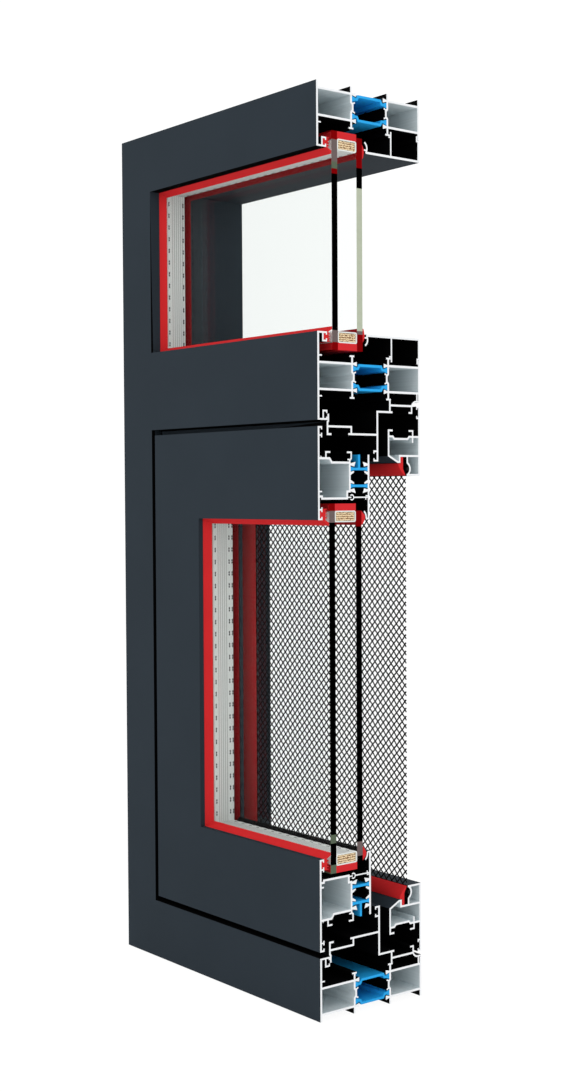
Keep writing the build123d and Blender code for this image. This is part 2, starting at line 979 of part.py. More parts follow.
def glass_unit(ring, edge, front, cavity, name):
    """Two panes with their spacer, drying grains and rim seal."""
    inner = front + glass
    save(sheet(ring, edge, front, glass), f"{name}_pane_outer")
    save(sheet(ring, edge, inner + cavity, glass), f"{name}_pane_inner")
    save(loop(ring, lambda: seal_profile(inner, cavity, edge)), f"{name}_edge_seal")
    save(loop(ring, lambda: spacer_profile(inner, cavity, edge)), f"{name}_spacer")
    grains = loop(ring, lambda: grains_profile(inner, cavity, edge), back=grain_setback)
    save(grains, f"{name}_desiccant")


# Fixed light
glass_unit(fixed_ring, fixed_edge, fixed_glass, fixed_cavity, "fixed")
fixed_gasket = loop(fixed_ring, fixed_outer_gasket_profile, round_part=frame_outer["jamb"])
save(fixed_gasket, "fixed_gasket_outer")
save(loop(fixed_ring, fixed_inner_gasket_profile), "fixed_gasket_inner")
for side, name in bead_sides:
    save(member(fixed_ring, side, bead_profile), f"fixed_bead_{name}")

# Rebate stop of the opening light
for side, name in frame_sides:
    save(member(opening_ring, side, stop_profile), f"stop_{name}")

# Sash
for side, name in sash_sides:
    outer_length = trimmed(member(sash_ring, side, sash_outer_profile), sash_left)
    save(outer_length, f"sash_{name}_outer")
    save(member(sash_ring, side, sash_inner_profile), f"sash_{name}_inner")
save(loop(sash_ring, sash_strips_profile), "sash_break_strips")
save(loop(sash_ring, sash_clip_profile), "sash_clip_cover")
glass_unit(sash_ring, sash_edge, sash_glass, sash_cavity, "sash")
save(loop(sash_ring, sash_outer_gasket_profile), "sash_gasket_outer")
save(loop(sash_ring, sash_inner_gasket_profile), "sash_gasket_inner")

# Insect screen
for side, name in sash_sides:
    rail = trimmed(member(screen_ring, side, screen_profile), screen_left)
    save(rail, f"screen_{name}_rail")
save(loop(screen_ring, screen_gasket_profile), "screen_gasket")
save(loop(screen_ring, screen_spline_profile), "screen_spline")
save(mesh_sheet(), "screen_mesh")

# Hinge blocks
save(sash_hinge_blocks(), "sash_hinges")
save(screen_hinge_blocks(), "screen_hinges")
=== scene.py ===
"""Looks of a cut aluminium window sample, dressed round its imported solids."""

import json
import math

import bpy
from bpy.props import FloatProperty, FloatVectorProperty, IntProperty, PointerProperty
from bpy.types import Operator, Panel, PropertyGroup
from mathutils import Matrix, Vector
from mathutils.bvhtree import BVHTree

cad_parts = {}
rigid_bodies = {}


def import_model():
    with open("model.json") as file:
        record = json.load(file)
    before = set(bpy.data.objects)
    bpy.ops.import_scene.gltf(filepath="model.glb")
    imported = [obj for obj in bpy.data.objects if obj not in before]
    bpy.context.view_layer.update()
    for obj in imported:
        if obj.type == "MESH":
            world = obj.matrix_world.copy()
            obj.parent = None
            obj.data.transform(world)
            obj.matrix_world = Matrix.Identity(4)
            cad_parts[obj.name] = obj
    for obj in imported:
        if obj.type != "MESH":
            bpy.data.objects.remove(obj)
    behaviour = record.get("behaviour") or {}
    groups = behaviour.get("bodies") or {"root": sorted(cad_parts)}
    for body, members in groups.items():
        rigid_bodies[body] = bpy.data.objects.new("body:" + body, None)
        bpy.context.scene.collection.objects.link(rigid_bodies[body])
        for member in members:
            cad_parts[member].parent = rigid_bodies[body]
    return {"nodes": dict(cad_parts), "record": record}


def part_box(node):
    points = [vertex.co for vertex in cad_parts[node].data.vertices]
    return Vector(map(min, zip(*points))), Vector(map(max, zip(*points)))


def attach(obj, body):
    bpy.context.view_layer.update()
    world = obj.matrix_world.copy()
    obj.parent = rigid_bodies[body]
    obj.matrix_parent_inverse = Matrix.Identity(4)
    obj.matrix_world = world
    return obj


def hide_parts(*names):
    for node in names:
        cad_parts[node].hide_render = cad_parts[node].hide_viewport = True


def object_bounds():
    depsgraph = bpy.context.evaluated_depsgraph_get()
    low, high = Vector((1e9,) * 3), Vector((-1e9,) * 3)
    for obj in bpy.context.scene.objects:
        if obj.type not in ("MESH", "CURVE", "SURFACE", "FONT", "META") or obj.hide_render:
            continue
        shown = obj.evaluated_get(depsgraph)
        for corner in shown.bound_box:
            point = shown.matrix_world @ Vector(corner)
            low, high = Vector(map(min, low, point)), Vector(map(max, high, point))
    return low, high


bl_info = {
    "name": "Window Sample Looks",
    "version": (1, 0, 0),
    "blender": (4, 5, 0),
    "location": "View3D > Sidebar > Window",
    "description": "Finishes, screen weave and glazing details of a cut aluminium window sample",
    "category": "Object",
}

for leftover in list(bpy.data.objects):
    bpy.data.objects.remove(leftover)

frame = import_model()
nodes = frame["nodes"]
cad_box = [list(corner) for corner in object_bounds()]
body = "root"
mm = 0.001

# Where the sample was cut, and how near a face has to be to count as cut
cut_x = cad_box[1][0]
cut_slack = 0.02 * mm

# Narrow gaps and wall fins, whose faces get a painted shade
gap_wide = 8.0 * mm
fin_high = 5.0 * mm
fin_slack = 1.0 * mm
back_slack = 1.0 * mm

# Shares of open sky below which a face gets a painted shade, anywhere or across a narrow gap
shut_share = 0.03
gap_share = 0.4
sky_rays = 24

# How far a normal has to follow an axis, and how far a spot lies towards a corner of its face
cut_square = 0.99
along_axis = 0.9
mostly = 0.5
across_axis = 0.1
to_corner = 0.8

# Height of the foot of the inner sash gasket, which gets the dark cord rubber as painted shade
painted_shade_foot = 20.0 * mm


def from_screen(red, green, blue):
    """A screen colour, 0 to 255, as the linear colour that shaders use."""
    linear = []
    for level in (red, green, blue):
        share = level / 255
        linear.append(share / 12.92 if share <= 0.04045 else ((share + 0.055) / 1.055) ** 2.4)
    return tuple(linear)


# Sizes and colours that a user would change
def colour(name, description, default):
    """A colour property."""
    return FloatVectorProperty(
        name=name, description=description, default=default, subtype="COLOR", min=0.0, max=1.0
    )


def length(name, description, default):
    """A length property in metres."""
    return FloatProperty(
        name=name, description=description, default=default, unit="LENGTH", min=0.0, precision=5
    )


def angle(name, description, degrees):
    """An angle property."""
    return FloatProperty(
        name=name, description=description, default=math.radians(degrees), unit="ROTATION"
    )


def share(name, description, default):
    """A property between nothing and all."""
    return FloatProperty(
        name=name, description=description, default=default, subtype="FACTOR", min=0.0, max=1.0
    )


class ProfileFinish(PropertyGroup):
    """Finishes of the aluminium profiles."""

    coat: colour("Coat", "Slate powder coat of the faces", from_screen(43, 51, 58))
    # The shade colour is painted shade on the coat in the rebates, grooves, narrow gaps and wall fins
    shade: colour("Shade", "Coat inside the rebates and grooves", from_screen(4, 4, 5))
    bare: colour("Bare", "Sawn aluminium at the cut", from_screen(246, 248, 250))
    mill: colour("Mill", "Uncoated aluminium inside the tubes", from_screen(222, 231, 234))
    coat_roughness: share("Coat roughness", "Middle roughness of the powder coat", 0.7)
    peel: length("Peel", "Distance between the dimples of the powder coat", 0.9 * mm)


class SealFinish(PropertyGroup):
    """Finishes of the gaskets, sealant, cord and break strips."""

    gasket: colour("Gasket", "Red rubber of the gaskets", from_screen(205, 41, 44))
    # The inner gasket colour is a darker red, painted shade on the inner gasket faces that show through the
    # panes
    inner: colour("Inner gasket", "Red rubber on the room side of the panes", from_screen(140, 24, 28))
    sealant: colour("Sealant", "Red sealant round the sealed units", from_screen(208, 36, 42))
    strip: colour("Strip", "Blue polyamide of the break strips", from_screen(34, 165, 233))
    cord: colour("Cord", "Black rubber of the cord in the screen", from_screen(16, 16, 17))


class GlazingFinish(PropertyGroup):
    """Sizes and finishes of the sealed glass units."""

    glass: colour("Glass", "Tint of the panes", from_screen(252, 254, 253))
    # The edge colours are painted reflections and painted shade and light on the cut glass edges
    edge_dark: colour("Dark edge", "Depth of a cut glass edge", from_screen(1, 1, 1))
    edge_pale: colour("Pale edge", "Cut glass edge that gathers light", from_screen(186, 194, 173))
    edge_red: colour("Red edge", "Cut glass edge beside red rubber", from_screen(128, 4, 8))
    edge_grey: colour("Grey edge", "Cut glass edge beside the spacer", from_screen(112, 98, 97))
    edge_green: colour("Green edge", "Cut glass edge beside air", from_screen(92, 105, 86))
    spacer: colour("Spacer", "Pale aluminium of the spacers", from_screen(226, 230, 227))
    # The perforation colour is painted shade for the inside of the perforations
    hole_painted_shade: colour("Hole", "Dark inside of the perforations", from_screen(58, 60, 60))
    grain: colour("Grain", "Cream drying grains", from_screen(255, 228, 190))
    # The fill colour is painted shade between the drying grains
    fill: colour("Fill", "Brown shade between the drying grains", from_screen(138, 92, 56))
    hole_pitch: length("Hole pitch", "Distance between two pairs of perforations", 10.6 * mm)
    hole_long: length("Hole length", "Length of one perforation", 2.1 * mm)
    hole_wide: length("Hole width", "Width of one perforation", 1.4 * mm)
    hole_pair: length("Hole pair", "Distance between the perforations of a pair", 2.1 * mm)
    grain_size: length("Grain size", "Diameter of one drying grain", 1.4 * mm)
    grain_seed: IntProperty(name="Grain seed", description="Seed of the grain places", default=7)


class ScreenFinish(PropertyGroup):
    """Sizes and finish of the insect screen."""

    wire: colour("Wire", "Black coated wire of the screen", from_screen(10, 10, 11))
    diamond: length("Diamond", "Width and height of one diamond of the weave", 6.8 * mm)
    wire_wide: length("Wire width", "Width of one wire", 1.4 * mm)
    wave: length("Wave", "How far a wire leaves the middle of the weave", 0.5 * mm)
    flatness: share("Flatness", "Thickness of the weave compared with round wire", 0.5)


class StageFinish(PropertyGroup):
    """Camera, light and floor."""

    floor: colour("Floor", "Pale floor", from_screen(250, 250, 250))
    sky: FloatProperty(name="Sky", description="Strength of the even light", default=1.05, min=0.0)
    key: FloatProperty(
        name="Key", description="Power of the soft key light", default=4.5, unit="POWER", min=0.0
    )
    lens: FloatProperty(
        name="Lens", description="Focal length on a 36 mm sensor", default=51.98, unit="CAMERA"
    )
    place: FloatVectorProperty(
        name="Place",
        description="Place of the camera",
        default=(1.1072, -0.8467, 0.4225),
        subtype="TRANSLATION",
    )
    azimuth: angle("Azimuth", "Turn of the camera, where none looks along the depth", 51.704)
    elevation: angle("Elevation", "How far the camera looks down", 1.871)
    roll: angle("Roll", "Roll of the camera", -0.308)


class WindowLooks(PropertyGroup):
    """All the sizes and colours of the window sample."""

    profiles: PointerProperty(name="Profiles", description="Profiles", type=ProfileFinish)
    seals: PointerProperty(name="Seals", description="Seals and strips", type=SealFinish)
    glazing: PointerProperty(name="Glazing", description="Glass units", type=GlazingFinish)
    screen: PointerProperty(name="Screen", description="Insect screen", type=ScreenFinish)
    stage: PointerProperty(name="Stage", description="Stage", type=StageFinish)


# Node helpers
def plug(tree, value, socket):
    """Link an output to a socket, or set a plain value on it."""
    if isinstance(value, bpy.types.NodeSocket):
        tree.links.new(value, socket)
    else:
        socket.default_value = value


def maths(tree, operation, *values, kind="Math"):
    """The result of a sum of values or vectors."""
    node = tree.nodes.new(f"ShaderNode{kind}")
    node.operation = operation
    for value, socket in zip(values, node.inputs):
        plug(tree, value, socket)
    return node.outputs[0]


def mixed(tree, part, first, second):
    """A mix of two shaders."""
    node = tree.nodes.new("ShaderNodeMixShader")
    plug(tree, part, node.inputs["Fac"])
    tree.links.new(first, node.inputs[1])
    tree.links.new(second, node.inputs[2])
    return node.outputs["Shader"]


def scaled(tint, factor):
    """A colour made lighter or darker, with its alpha."""
    return tuple(min(level * factor, 1.0) for level in tint[:3]) + (1.0,)


class Finish:
    """A material under construction, with its shader and its object coordinates."""

    def __init__(self, name):
        self.material = bpy.data.materials.new(name)
        self.material.use_nodes = True
        self.tree = self.material.node_tree
        self.shader = self.tree.nodes["Principled BSDF"]
        self.place = self.tree.nodes.new("ShaderNodeTexCoord").outputs["Object"]

    def link(self, source, target):
        """Join two sockets."""
        self.tree.links.new(source, target)

    def set(self, **values):
        """Set plain values on the shader, with spaces written as underscores."""
        for name, value in values.items():
            self.shader.inputs[name.replace("_", " ")].default_value = value

    def group(self, tree, **values):
        """Place a node group on the object coordinates, set its inputs and give its outputs."""
        node = self.tree.nodes.new("ShaderNodeGroup")
        node.node_tree = tree
        self.link(self.place, node.inputs["Place"])
        for name, value in values.items():
            node.inputs[name.replace("_", " ")].default_value = value
        return node.outputs

    def along(self, axis):
        """The object coordinate along one axis."""
        node = self.tree.nodes.new("ShaderNodeSeparateXYZ")
        self.link(self.place, node.inputs["Vector"])
        return node.outputs[axis]

    def blend(self, mask, low, high):
        """A colour between two, by a mask."""
        node = self.tree.nodes.new("ShaderNodeMix")
        node.data_type = "RGBA"
        self.link(mask, node.inputs["Factor"])
        plug(self.tree, low, node.inputs["A"])
        plug(self.tree, high, node.inputs["B"])
        return node.outputs["Result"]

    def span(self, mask, low, high, start=0.0, stop=1.0):
        """A value between two, by a mask that runs from start to stop."""
        node = self.tree.nodes.new("ShaderNodeMapRange")
        for name, value in (("From Min", start), ("From Max", stop), ("To Min", low), ("To Max", high)):
            node.inputs[name].default_value = value
        self.link(mask, node.inputs["Value"])
        return node.outputs["Result"]

    def paint(self, mask, tint, low, high):
        """Base colour between two shades of a tint, by a mask."""
        shade = self.blend(mask, scaled(tint, low), scaled(tint, high))
        self.link(shade, self.shader.inputs["Base Color"])

    def polish(self, mask, low, high):
        """Roughness between two values, by a mask."""
        self.link(self.span(mask, low, high), self.shader.inputs["Roughness"])

    def relief(self, height, strength, distance):
        """Bump on the shader's normal."""
        node = self.tree.nodes.new("ShaderNodeBump")
        node.inputs["Strength"].default_value = strength
        node.inputs["Distance"].default_value = distance
        self.link(height, node.inputs["Height"])
        self.link(node.outputs["Normal"], self.shader.inputs["Normal"])


def new_group(name, inputs, outputs):
    """A shader node group with named sockets, its input node and its output node."""
    tree = bpy.data.node_groups.new(name, "ShaderNodeTree")
    tree.interface.new_socket("Place", in_out="INPUT", socket_type="NodeSocketVector")
    for label, value in inputs.items():
        socket = tree.interface.new_socket(label, in_out="INPUT", socket_type="NodeSocketFloat")
        socket.default_value = value
    for label in outputs:
        tree.interface.new_socket(label, in_out="OUTPUT", socket_type="NodeSocketFloat")
    return tree, tree.nodes.new("NodeGroupInput"), tree.nodes.new("NodeGroupOutput")


def noise(tree, place, scale, detail):
    """A noise texture inside a group."""
    node = tree.nodes.new("ShaderNodeTexNoise")
    node.inputs["Detail"].default_value = detail
    tree.links.new(place, node.inputs["Vector"])
    plug(tree, scale, node.inputs["Scale"])
    return node.outputs["Fac"]


def grain_group():
    """Slow mottling and fine dimples for coats, rubber and plastic."""
    scales = {"Mottle scale": 30.0, "Dimple scale": 1100.0}
    tree, entry, leave = new_group("Surface grain", scales, ("Mottle", "Dimple"))
    slow = noise(tree, entry.outputs["Place"], entry.outputs["Mottle scale"], 3.0)
    fine = noise(tree, entry.outputs["Place"], entry.outputs["Dimple scale"], 1.0)
    tree.links.new(slow, leave.inputs["Mottle"])
    tree.links.new(fine, leave.inputs["Dimple"])
    return tree


def drawn_group():
    """Fine lines left by the die along an extruded length."""
    tree, entry, leave = new_group("Drawn lines", {"Line scale": 900.0, "Stretch": 0.01}, ("Line", "Cloud"))
    stretch = tree.nodes.new("ShaderNodeCombineXYZ")
    stretch.inputs["Y"].default_value = 1.0
    stretch.inputs["Z"].default_value = 1.0
    tree.links.new(entry.outputs["Stretch"], stretch.inputs["X"])
    thin = maths(tree, "MULTIPLY", entry.outputs["Place"], stretch.outputs["Vector"], kind="VectorMath")
    fine = noise(tree, thin, entry.outputs["Line scale"], 2.0)
    slow = noise(tree, entry.outputs["Place"], 60.0, 3.0)
    tree.links.new(fine, leave.inputs["Line"])
    tree.links.new(slow, leave.inputs["Cloud"])
    return tree


# Move that puts the middle of the saw's arcs beside the sample
arc_move = (0.0, 0.35, -0.2)


def saw_group():
    """Arcs left by a saw blade across a cut face."""
    tree, entry, leave = new_group("Saw marks", {"Mark scale": 240.0}, ("Mark", "Cloud"))
    moved = tree.nodes.new("ShaderNodeMapping")
    moved.inputs["Location"].default_value = arc_move
    tree.links.new(entry.outputs["Place"], moved.inputs["Vector"])
    arcs = tree.nodes.new("ShaderNodeTexWave")
    arcs.wave_type = "RINGS"
    arcs.rings_direction = "X"
    arcs.inputs["Distortion"].default_value = 1.5
    arcs.inputs["Detail"].default_value = 2.0
    tree.links.new(moved.outputs["Vector"], arcs.inputs["Vector"])
    tree.links.new(entry.outputs["Mark scale"], arcs.inputs["Scale"])
    slow = noise(tree, entry.outputs["Place"], 400.0, 2.0)
    tree.links.new(arcs.outputs["Fac"], leave.inputs["Mark"])
    tree.links.new(slow, leave.inputs["Cloud"])
    return tree


shared = {}


def effect(name):
    """One of the shared node groups, built the first time it is asked for."""
    makers = {"grain": grain_group, "drawn": drawn_group, "saw": saw_group}
    if name not in shared:
        shared[name] = makers[name]()
    return shared[name]


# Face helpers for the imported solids
def corner_points(mesh, face):
    """The corners of a face."""
    return [mesh.vertices[index].co for index in face.vertices]


def is_cut(face):
    """Whether a face lies in the cut end."""
    return face.normal.x > cut_square and abs(face.center.x - cut_x) < cut_slack


def loop_reach(loop):
    """The depth and height of a loop of edges, added up."""
    ends = [end for edge in loop for end in edge]
    depths = [end[0] for end in ends]
    heights = [end[1] for end in ends]
    return max(depths) - min(depths) + max(heights) - min(heights)


def tube_walls(mesh):
    """Edges, as pairs of depth and height, of the closed tubes that a cut face shows."""
    count = {}
    for face in mesh.polygons:
        if not is_cut(face):
            continue
        ends = [(round(p.y / mm, 3), round(p.z / mm, 3)) for p in corner_points(mesh, face)]
        for first, second in zip(ends, ends[1:] + ends[:1]):
            edge = (min(first, second), max(first, second))
            count[edge] = count.get(edge, 0) + 1
    beside = {}
    for edge, uses in count.items():
        if uses == 1:
            for end in edge:
                beside.setdefault(end, []).append(edge)
    loops = []
    seen = set()
    for start in beside:
        if start in seen:
            continue
        loop = set()
        waiting = [start]
        while waiting:
            end = waiting.pop()
            if end in seen:
                continue
            seen.add(end)
            for edge in beside[end]:
                loop.add(edge)
                waiting.extend(edge)
        loops.append(loop)
    loops.sort(key=loop_reach)
    return [edge for loop in loops[:-1] for edge in loop]


def near_wall(walls, depth, height, slack=0.05):
    """Whether a point of the section, in millimetres, lies on one of these edges."""
    for (y0, z0), (y1, z1) in walls:
        run = (y1 - y0) ** 2 + (z1 - z0) ** 2
        along = ((depth - y0) * (y1 - y0) + (height - z0) * (z1 - z0)) / run
        along = min(max(along, 0.0), 1.0)
        off_y = depth - y0 - along * (y1 - y0)
        off_z = height - z0 - along * (z1 - z0)
        if off_y * off_y + off_z * off_z < slack * slack:
            return True
    return False


def closed_section(solids):
    """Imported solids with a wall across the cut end."""
    points = []
    faces = []
    for node in solids:
        first = len(points)
        points.extend(vertex.co.copy() for vertex in node.data.vertices)
        faces.extend([first + index for index in face.vertices] for face in node.data.polygons)
    (_, y0, z0), (_, y1, z1) = cad_box
    first = len(points)
    wall_x = cut_x + cut_slack
    points.extend(Vector((wall_x, y, z)) for y, z in ((y0, z0), (y1, z0), (y1, z1), (y0, z1)))
    faces.append([first, first + 1, first + 2, first + 3])
    return BVHTree.FromPolygons(points, faces)


def half_dome(amount):
    """Directions spread evenly over the side that faces +Z."""
    golden = math.pi * (3 - math.sqrt(5))
    rays = []
    for number in range(amount):
        rise = (number + 0.5) / amount
        reach = math.sqrt(1 - rise * rise)
        rays.append(Vector((reach * math.cos(golden * number), reach * math.sin(golden * number), rise)))
    return rays


def face_spots(mesh, face):
    """The middle of a face and a spot near each corner, just off the face."""
    spots = [face.center]
    spots.extend(face.center.lerp(point, to_corner) for point in corner_points(mesh, face))
    return [spot + face.normal * cut_slack for spot in spots]


def in_gap(metal, mesh, face):
    """Whether a face looks straight at another profile across a narrow gap."""
    hits = [metal.ray_cast(spot, face.normal, gap_wide)[0] for spot in face_spots(mesh, face)]
    return hits[0] is not None or sum(hit is not None for hit in hits) > 1


def on_wall_fin(face):
    """Whether a face lies on a fin that the wall hides, behind the street face."""
    (_, y0, z0), (_, y1, z1) = cad_box
    middle = face.center
    rim = min(middle.z - z0, z1 - middle.z)
    inside = y0 + fin_slack < middle.y < y1 - fin_slack
    return rim < fin_high and inside and abs(face.normal.y) > mostly


def open_share(section, mesh, face, rays):
    """The share of rays from a face that get out without passing the cut end."""
    turn = face.normal.to_track_quat("Z", "Y")
    spots = face_spots(mesh, face)
    free = 0
    for spot in spots:
        free += sum(section.ray_cast(spot, turn @ ray)[0] is None for ray in rays)
    return free / (len(spots) * len(rays))


def under_head(node, face):
    """Whether a face is an underside of the head's street half."""
    return node.name == "frame_head_outer" and face.normal.z < -along_axis


def faces_room(node, face, back):
    """Whether a face of the sash looks into the room through the screen."""
    return node.name.startswith("sash") and face.normal.y > along_axis and face.center.y > back


def in_shade(section, metal, mesh, face, rays):
    """Whether a face lies inside the profiles or in a narrow gap between them."""
    free = open_share(section, mesh, face, rays)
    return free < shut_share or (free < gap_share and in_gap(metal, mesh, face))


def dress(node, *materials):
    """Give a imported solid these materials, the first one everywhere."""
    mesh = node.data
    mesh.materials.clear()
    for material in materials:
        mesh.materials.append(material)
    for face in mesh.polygons:
        face.material_index = 0


def nodes_with(slot):
    """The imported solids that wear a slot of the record."""
    rows = frame["record"]["subparts"]
    return [nodes[row["node"]] for row in rows if row["material_slot"] == slot]


# Finishes of the profiles
def coat_finish(looks):
    """Slate powder coat with fine dimples."""
    made = Finish("slate_powder_coat")
    grain = made.group(effect("grain"), Mottle_scale=14.0, Dimple_scale=1.0 / looks.peel)
    made.paint(grain["Mottle"], looks.coat, 0.9, 1.1)
    made.polish(grain["Dimple"], looks.coat_roughness - 0.08, looks.coat_roughness + 0.08)
    made.set(Specular_IOR_Level=0.05)
    made.relief(grain["Dimple"], 0.12, 0.1 * mm)
    return made.material


def painted_shade_finish(looks):
    """Painted shade: dark coat on the faces in the rebates, grooves and narrow gaps, where shade falls."""
    made = Finish("dark_groove_coat")
    grain = made.group(effect("grain"), Mottle_scale=40.0, Dimple_scale=1.0 / looks.peel)
    made.paint(grain["Mottle"], looks.shade, 0.7, 1.3)
    made.polish(grain["Dimple"], 0.7, 0.85)
    made.set(Specular_IOR_Level=0.04)
    return made.material


def bare_finish(looks):
    """Freshly sawn aluminium."""
    made = Finish("sawn_aluminium")
    saw = made.group(effect("saw"), Mark_scale=300.0)
    made.paint(saw["Cloud"], looks.bare, 0.94, 1.0)
    made.polish(saw["Mark"], 0.3, 0.42)
    made.set(Metallic=0.9)
    made.relief(saw["Mark"], 0.1, 0.05 * mm)
    return made.material


def mill_finish(looks):
    """Uncoated aluminium inside the tubes, with die lines."""
    made = Finish("mill_aluminium")
    drawn = made.group(effect("drawn"), Line_scale=700.0, Stretch=0.004)
    made.paint(drawn["Line"], looks.mill, 0.88, 1.08)
    made.polish(drawn["Cloud"], 0.45, 0.6)
    made.set(Metallic=0.3)
    made.relief(drawn["Line"], 0.15, 0.05 * mm)
    return made.material


# Numbers of the finishes on each profile, in the order in which the profile gets them; the second one is
# painted shade
coated, painted_shade, milled, sawn = range(4)


class WINDOWSAMPLE_OT_profiles(Operator):
    """Coat the aluminium profiles, bare at the cut, uncoated inside the tubes and with painted shade in the
    rebates, grooves and narrow gaps
    """

    bl_idname = "window_sample.profiles"
    bl_label = "Finish Profiles"

    def execute(self, context):
        looks = context.scene.window_looks.profiles
        finishes = (coat_finish(looks), painted_shade_finish(looks), mill_finish(looks), bare_finish(looks))
        profiles = nodes_with("coated_aluminium")
        if not profiles:
            raise RuntimeError("the packed model has no coated profiles")
        rays = half_dome(sky_rays)
        section = closed_section([node for name, node in sorted(nodes.items()) if name != "screen_mesh"])
        metal = closed_section(profiles)
        for node in profiles:
            mesh = node.data
            dress(node, *finishes)
            walls = tube_walls(mesh) if node.name != "sash_clip_cover" else []
            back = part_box(node.name)[1].y - back_slack
            for face in mesh.polygons:
                middle = face.center / mm
                if is_cut(face):
                    face.material_index = sawn
                elif abs(face.normal.x) < across_axis and near_wall(walls, middle.y, middle.z):
                    face.material_index = milled
                elif faces_room(node, face, back):
                    face.material_index = coated
                # Faces on wall fins, on the undersides of the head's street half, deep in the profiles or
                # across narrow gaps get the painted shade
                elif on_wall_fin(face) or under_head(node, face):
                    face.material_index = painted_shade
                elif in_shade(section, metal, mesh, face, rays):
                    face.material_index = painted_shade
        return {"FINISHED"}


# Finishes of the strips and seals
def strip_finish(looks):
    """Blue polyamide with short glass fibres and drawn lines."""
    made = Finish("blue_polyamide")
    drawn = made.group(effect("drawn"), Line_scale=500.0, Stretch=0.02)
    grain = made.group(effect("grain"), Mottle_scale=60.0, Dimple_scale=1800.0)
    base = made.blend(drawn["Line"], scaled(looks.strip, 0.9), scaled(looks.strip, 1.06))
    flecked = made.blend(made.span(grain["Dimple"], -0.3, 0.5), base, scaled(looks.strip, 1.15))
    made.link(flecked, made.shader.inputs["Base Color"])
    made.polish(grain["Mottle"], 0.5, 0.65)
    made.set(Specular_IOR_Level=0.15)
    made.relief(drawn["Line"], 0.1, 0.05 * mm)
    return made.material


def rubber_finish(name, tint, rough, dimple, shine):
    """Matt rubber with a fine skin."""
    made = Finish(name)
    grain = made.group(effect("grain"), Mottle_scale=45.0, Dimple_scale=dimple)
    drawn = made.group(effect("drawn"), Line_scale=600.0, Stretch=0.02)
    made.paint(grain["Mottle"], tint, 0.9, 1.06)
    made.polish(grain["Dimple"], rough - 0.08, rough + 0.08)
    made.set(Specular_IOR_Level=shine)
    made.relief(drawn["Line"], 0.08, 0.05 * mm)
    return made.material


class WINDOWSAMPLE_OT_strips(Operator):
    """Give the break strips their blue polyamide"""

    bl_idname = "window_sample.strips"
    bl_label = "Finish Break Strips"

    def execute(self, context):
        finish = strip_finish(context.scene.window_looks.seals)
        for node in nodes_with("break_polyamide"):
            dress(node, finish)
        return {"FINISHED"}


# Numbers of the finishes on the inner gaskets, after the red that shows at the cut: a darker red as painted
# shade, and the dark cord rubber as painted shade on the foot of the sash gasket
painted_shade_red, painted_shade_black = (1, 2)


class WINDOWSAMPLE_OT_seals(Operator):
    """Give the gaskets, the sealant and the screen cord their rubber, with painted shade on the inner
    gaskets
    """

    bl_idname = "window_sample.seals"
    bl_label = "Finish Seals"

    def execute(self, context):
        looks = context.scene.window_looks.seals
        finishes = {
            "gasket_rubber": rubber_finish("red_gasket_rubber", looks.gasket, 0.55, 1500.0, 0.03),
            "edge_sealant": rubber_finish("red_edge_sealant", looks.sealant, 0.62, 900.0, 0.12),
            "spline_rubber": rubber_finish("black_cord_rubber", looks.cord, 0.6, 1200.0, 0.12),
        }
        for slot, finish in finishes.items():
            for node in nodes_with(slot):
                dress(node, finish)
        # Away from the cut the inner gaskets get painted shade: the darker red, and the dark cord rubber on
        # the foot of the sash gasket
        inner = rubber_finish("inner_gasket_rubber", looks.inner, 0.55, 1500.0, 0.03)
        for unit in ("fixed", "sash"):
            node = nodes[f"{unit}_gasket_inner"]
            dress(node, finishes["gasket_rubber"], inner, finishes["spline_rubber"])
            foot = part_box(node.name)[0].z + painted_shade_foot
            for face in node.data.polygons:
                if unit == "sash" and face.center.z < foot and abs(face.normal.x) < across_axis:
                    face.material_index = painted_shade_black
                elif not is_cut(face):
                    face.material_index = painted_shade_red
        return {"FINISHED"}


# Finishes of the glass units
def glass_finish(looks):
    """Clear float glass with a weak mirror image."""
    made = Finish("clear_float_glass")
    grain = made.group(effect("grain"), Mottle_scale=3.0, Dimple_scale=20.0)
    made.paint(grain["Mottle"], looks.glass, 0.995, 1.0)
    made.set(Transmission_Weight=1.0, Roughness=0.0, IOR=1.5, Specular_Tint=(0.0, 0.0, 0.0, 1.0))
    return made.material


# Colours along the cut edge of each pane, painted reflections of the rubber, spacer and air beside it and
# painted shade where light stays in the glass, with the millimetres up from its foot or down from its top
# at which each one ends
painted_edge_bands = {
    "fixed_pane_outer": (
        ("red", 6.0, "grey", 15.0, "dark"),
        ("red", 7.0, "grey", 24.4, "green", 30.1, "red", 34.4, "dark"),
    ),
    "fixed_pane_inner": (
        ("red", 13.0, "grey", 16.0, "pale"),
        ("dark", 3.0, "red", 27.0, "dark", 43.0, "pale"),
    ),
    "sash_pane_outer": (
        ("green", 6.5, "dark", 23.8, "green", 31.0, "dark"),
        ("red", 6.0, "grey", 15.5, "dark"),
    ),
    "sash_pane_inner": (
        ("dark", 9.7, "grey", 21.8, "dark"),
        ("dark", 6.0, "red", 19.0, "dark"),
    ),
}


